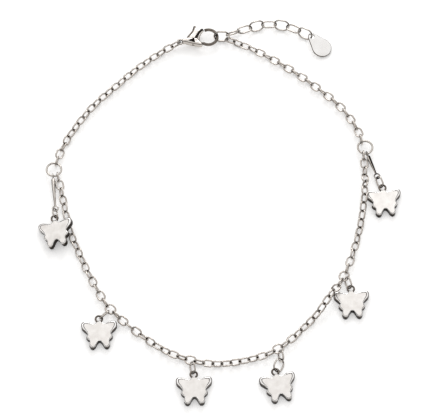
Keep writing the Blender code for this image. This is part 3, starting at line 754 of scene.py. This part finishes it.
def cut(item, tool):
    """Takes the tool's form out of the object, and the tool away."""
    modifier = item.modifiers.new("cut", "BOOLEAN")
    modifier.operation = "DIFFERENCE"
    modifier.solver = "EXACT"
    modifier.object = tool
    apply_modifiers(item)
    bpy.data.objects.remove(tool, do_unlink=True)
    return item


def clasp_points(points):
    """Points of the clasp's plane, from shares of the hook's radius."""
    return [Vector((x * HOOK_RADIUS, y * HOOK_RADIUS)) for x, y in points]


def tube(name, points, radius):
    """A round rod along points of the clasp's plane."""
    curve = bpy.data.curves.new(name, "CURVE")
    curve.dimensions = "3D"
    curve.bevel_depth = radius
    curve.bevel_resolution = BEVEL_SEGMENTS
    curve.use_fill_caps = True
    spline = curve.splines.new("POLY")
    spline.points.add(len(points) - 1)
    for point, (x, y) in zip(spline.points, points):
        point.co = (x, y, 0, 1)
    new_object(name, curve)
    return mesh_of_curve()


def hook_object():
    """The claw's round bend, from the body's lower edge to its free tip."""
    sweep = HOOK_TIP_ANGLE - HOOK_ROOT_ANGLE
    points = [(HOOK_ROOT[0] * HOOK_RADIUS, HOOK_ROOT[1] * HOOK_RADIUS)]
    for index in range(CLAW_STEPS + 1):
        angle = math.radians(HOOK_ROOT_ANGLE + sweep * index / CLAW_STEPS)
        points.append((HOOK_CENTRE[0] + HOOK_RADIUS * math.cos(angle),
                       HOOK_CENTRE[1] + HOOK_RADIUS * math.sin(angle)))
    return tube("claw", points, HOOK_WIRE / 2)


def clasp_body(wire, edge, face, recess):
    """The cast body with its slot, pin and a pocket painted dark as shade, its soldered eye and its
    claw.
    """
    body = plate("clasp_cast", smooth_through(clasp_points(BODY_OUTLINE), OUTLINE_STEPS, True),
                 CLASP_THICKNESS, CLASP_EDGE)
    slot = plate("slot", clasp_points(SLOT_OUTLINE), LEVER_THICKNESS + 2 * LEVER_GAP, LEVER_GAP / 4)
    cut(body, slot)
    bpy.ops.mesh.primitive_cylinder_add(
        vertices=TURNED_SIDES, radius=PIN_RADIUS, depth=CLASP_THICKNESS + LEVER_GAP,
        location=(*PIVOT, 0))
    pin = rounded(bpy.context.object, PIN_RADIUS / 3)
    bpy.ops.object.transform_apply(location=True, rotation=True, scale=True)
    pocket = plate("pocket", clasp_points(POCKET_OUTLINE), 2 * POCKET_DEPTH, POCKET_DEPTH / 10)
    pocket.data.transform(Matrix.Translation((0, 0, CLASP_THICKNESS / 2)))
    cut(body, pocket)
    eye = ring_object("clasp_eye", CLASP_EYE_OUTER, CLASP_EYE_OUTER, CLASP_EYE_WIRE, SOLDERED)
    hook = hook_object()
    give(eye, wire)
    # The claw is painted grey as shade
    give(hook, edge)
    give(pin, face)
    give_plate(body, face, wire)
    # The pocket's floor takes the near-black painted shade
    body.data.materials.append(recess)
    recess_index = len(body.data.materials) - 1
    floor_height = CLASP_THICKNESS / 2 - POCKET_DEPTH
    for polygon in body.data.polygons:
        off_floor = abs(polygon.center.z - floor_height)
        if off_floor < POCKET_DEPTH / 2 and polygon.normal.z > POCKET_SLOPE:
            polygon.material_index = recess_index
    smooth(join(body, pin, eye, hook), CAST_SMOOTH)
    body.data.transform(SHIFT @ clasp_drawn())
    finish_piece(body, "polished_silver", "bracelet", "clasp_body")


def clasp_lever(edge, face, dark):
    """The lever: a thin thumb plate with a rolled edge, its round arm and a crease between, painted
    near black as shade.
    """
    lever = plate("lever_cast", smooth_through(clasp_points(LEVER_OUTLINE), OUTLINE_STEPS, True),
                  THUMB_THICKNESS, THUMB_EDGE)
    # The plate's rounded edge is painted near black as shade
    give_plate(lever, face, dark)
    arm = tube("arm", smooth_through(clasp_points(ARM_ROUTE), OUTLINE_STEPS), ARM_RADIUS)
    give(arm, face)
    crease = tube("crease", smooth_through(clasp_points(CREASE_ROUTE), OUTLINE_STEPS),
                  CREASE_RADIUS)
    # The crease rod is painted near black as shade
    give(crease, dark)
    rolled = tube("rolled_edge", smooth_through(clasp_points(ROLLED_ROUTE), OUTLINE_STEPS),
                  ROLLED_RADIUS)
    # The rolled edge is painted grey as shade
    give(rolled, edge)
    smooth(join(lever, arm, crease, rolled), CAST_SMOOTH)
    lever.data.transform(SHIFT @ clasp_drawn())
    finish_piece(lever, "polished_silver", "lever", "clasp_lever")


def tag(face, edge):
    """A flat teardrop with a rounded edge, its hole near the tip."""
    big = TAG_WIDTH / 2
    reach = TAG_LENGTH - big - TAG_TIP_RADIUS
    lean = math.acos((TAG_TIP_RADIUS - big) / reach)
    outline = []
    for index in range(TAG_END_STEPS + 1):
        angle = -lean + 2 * lean * index / TAG_END_STEPS
        outline.append(Vector((reach + big * math.cos(angle), big * math.sin(angle))))
    for index in range(TAG_TIP_STEPS + 1):
        angle = lean + (2 * math.pi - 2 * lean) * index / TAG_TIP_STEPS
        outline.append(Vector((math.cos(angle), math.sin(angle))) * TAG_TIP_RADIUS)
    item = plate("teardrop", outline, TAG_THICKNESS, TAG_EDGE)
    bpy.ops.mesh.primitive_cylinder_add(
        vertices=TAG_HOLE_SIDES, radius=TAG_HOLE / 2, depth=4 * TAG_THICKNESS)
    cut(item, bpy.context.object)
    middle, way = lie_of("extender_tag", heading(TAG_WAY))
    place = along(middle - way, middle + way)
    place.translation = middle - way * (TAG_LENGTH / 2 - TAG_TIP_RADIUS)
    # The tag's rounded edge is painted grey as shade
    give_plate(smooth(item, CAST_SMOOTH), face, edge)
    item.data.transform(place)
    finish_piece(item, "polished_silver", "bracelet", "extender_tag")


def rings(material):
    """End rings, hook ring, extender links and jump rings, all bent from wire."""
    for side in ("left", "right"):
        ring_piece("end_ring_" + side, END_RING_OUTER, END_RING_OUTER, END_RING_WIRE, material)
    ring_piece("hook_ring", HOOK_RING_LENGTH, HOOK_RING_WIDTH, HOOK_RING_WIRE, material)
    for number in range(1, EXTENDER_LINKS + 1):
        ring_piece(f"extender_link_{number}", EXTENDER_LENGTH, EXTENDER_WIDTH, EXTENDER_WIRE,
                   material)
    for number in CHARMS:
        size = ROUND_JUMP_SIZE if number == 4 else JUMP_SIZE
        ring_piece(f"jump_ring_{number}", *size, JUMP_WIRE, material)
    ring_piece("upper_ring_4", *JUMP_SIZE, JUMP_WIRE, material)


def camera():
    """The photograph's camera, aimed at the place that is drawn as the middle of the photograph."""
    data = bpy.data.cameras.new("camera")
    data.lens = LENS
    data.sensor_width = SENSOR
    item = bpy.data.objects.new("camera", data)
    bpy.context.scene.collection.objects.link(item)
    distance = PHOTO_WIDTH * MM_PER_PIXEL * MM * LENS / SENSOR
    rise = math.radians(CAMERA_ELEVATION)
    back = Vector((0, -math.cos(rise), math.sin(rise)))
    item.location = SHIFT.translation + back * distance
    item.rotation_euler = (math.pi / 2 - rise, 0, 0)
    bpy.context.scene.camera = item


def floor():
    """A matt white table that glows a little, as an overexposed sweep does."""
    bpy.ops.mesh.primitive_plane_add(size=TABLE_SIZE)
    item = bpy.context.object
    item.name = "table"
    material = new_material("white_paper_sweep")
    tree = material.node_tree
    place = add_node(tree, "ShaderNodeTexCoord").outputs["Object"]
    tint = ramp(tree, noise(tree, place, 0.05), [(0.4, "#F6F6F6"), (0.6, "#FAFAFA")])
    shader = add_node(tree, "ShaderNodeBsdfPrincipled", {
        "Base Color": tint, "Roughness": 0.9, "Specular IOR Level": 0.0,
        "Emission Color": (1, 1, 1, 1), "Emission Strength": TABLE_GLOW})
    add_node(tree, "ShaderNodeOutputMaterial", {"Surface": shader.outputs["BSDF"]})
    give(item, material)


def studio():
    """A white tent, bright overhead and behind, dark round its foot and where the camera looks in.

    Two soft lamps hang over it.
    """
    world = bpy.data.worlds.new("tent")
    bpy.context.scene.world = world
    world.use_nodes = True
    tree = world.node_tree
    tree.nodes.clear()
    way = add_node(tree, "ShaderNodeTexCoord").outputs["Generated"]
    parts = add_node(tree, "ShaderNodeSeparateXYZ", {"Vector": way})
    depth = add_node(tree, "ShaderNodeMapRange", {
        "Value": parts.outputs["Y"], "From Min": -1.0, "From Max": 1.0})
    front = ramp(tree, depth.outputs["Result"], [
        (0.0, "#050505"), (0.18, "#0C0B0A"), (0.24, "#8A8683"), (0.32, "#F0EEEC"),
        (0.50, "#FAF9F8"), (1.0, "#FFFFFF")])
    height = ramp(tree, parts.outputs["Z"], [
        (0.0, "#1A1816"), (0.34, "#1E1C1A"), (0.48, "#C8C6C4"), (0.60, "#FFFFFF")])
    front_top = ramp(tree, parts.outputs["Z"], [
        (0.50, "#000000"), (0.62, "#9A9794"), (0.80, "#D0CECC")])
    front = add_node(tree, "ShaderNodeMix", {"Factor": 1.0, "A": front, "B": front_top},
                     data_type="RGBA", blend_type="LIGHTEN").outputs["Result"]
    tint = add_node(tree, "ShaderNodeMix", {"Factor": 1.0, "A": front, "B": height},
                    data_type="RGBA", blend_type="MULTIPLY").outputs["Result"]
    back = add_node(tree, "ShaderNodeBackground", {"Color": tint, "Strength": 1.0})
    add_node(tree, "ShaderNodeOutputWorld", {"Surface": back.outputs["Background"]})
    for name, place, energy in LAMPS:
        light = bpy.data.lights.new(name, "AREA")
        light.shape = "RECTANGLE"
        light.size, light.size_y = LAMP_SIZE
        light.energy = energy
        item = bpy.data.objects.new(name, light)
        bpy.context.scene.collection.objects.link(item)
        item.location = place
        item.rotation_mode = "QUATERNION"
        item.rotation_quaternion = Vector(place).to_track_quat("Z", "Y")
    bpy.context.scene.view_settings.view_transform = "Standard"


SHIFT = Matrix.Translation(frame_shift())

# Rhodium-plated silver wire: bright, almost colourless, with the faint clouds of thin plating
plated_wire = metal("rhodium_plated_silver_wire", "#BDB6AF", "#D6D1CB", (0.08, 0.18),
                    2.0 * MM, 0.25 * MM, 0.004 * MM)
# The small chain is tumbled, not hand polished: a little darker and softer than the rings
tumbled_chain = metal("tumbled_silver_chain", "#BCB4AC", "#D6D0CA", (0.14, 0.26),
                      3.0 * MM, 0.20 * MM, 0.006 * MM)
# Painted shade for edges, darker than a lapped face: the charms' shoulder strips, groove and eyes,
# the claw, the lever's rolled edge and the tag's edge
grey_painted_shade = metal("silver_painted_grey_as_shade", "#655E57", "#857D75", (0.12, 0.24),
                       1.0 * MM, 0.20 * MM, 0.004 * MM)
# Near-black and not polished: painted shade on the charms' walls where they face the camera, the
# bars' dark sides and the lever's edge and crease; it draws the dark ends of feet and tips
black_painted_shade = metal("silver_painted_black_as_shade", "#1A1715", "#332E2A", (0.22, 0.36),
                  0.8 * MM, 0.12 * MM, 0.004 * MM)
# The lever's pocket is painted near black as shade: it reads as a black hole
pocket_painted_shade = metal("silver_painted_black_in_pocket", "#14110F", "#231E1A", (0.45, 0.60),
                        0.6 * MM, 0.15 * MM, 0.004 * MM)
# Flat stamped silver is lapped before plating, so it is the palest of all
lapped_plate = metal("lapped_plated_silver", "#EEECEA", "#F8F7F6", (0.16, 0.28),
                     2.5 * MM, 0.30 * MM, 0.004 * MM)
# The clasp is cast and barrel polished: a soft grey sheen that stands out from the white table
satin_cast = metal("barrel_polished_silver", "#C9C3BD", "#DDD8D3", (0.20, 0.34),
                   1.2 * MM, 0.25 * MM, 0.004 * MM)
# Charm faces are brushed lengthwise and plated: pearly, with fine streaks and no sharp reflection
brushed_face = metal("brushed_plated_silver", "#DEDAD6", "#ECE9E6", (0.34, 0.52),
                     1.5 * MM, 0.12 * MM, 0.002 * MM, (1.0, 0.06, 1.0))

camera()
floor()
studio()
strands(tumbled_chain)
rings(plated_wire)
charms(lapped_plate, brushed_face, black_painted_shade, grey_painted_shade)
bars(plated_wire, black_painted_shade)
clasp_body(plated_wire, grey_painted_shade, satin_cast, pocket_painted_shade)
clasp_lever(grey_painted_shade, satin_cast, black_painted_shade)
tag(lapped_plate, grey_painted_shade)
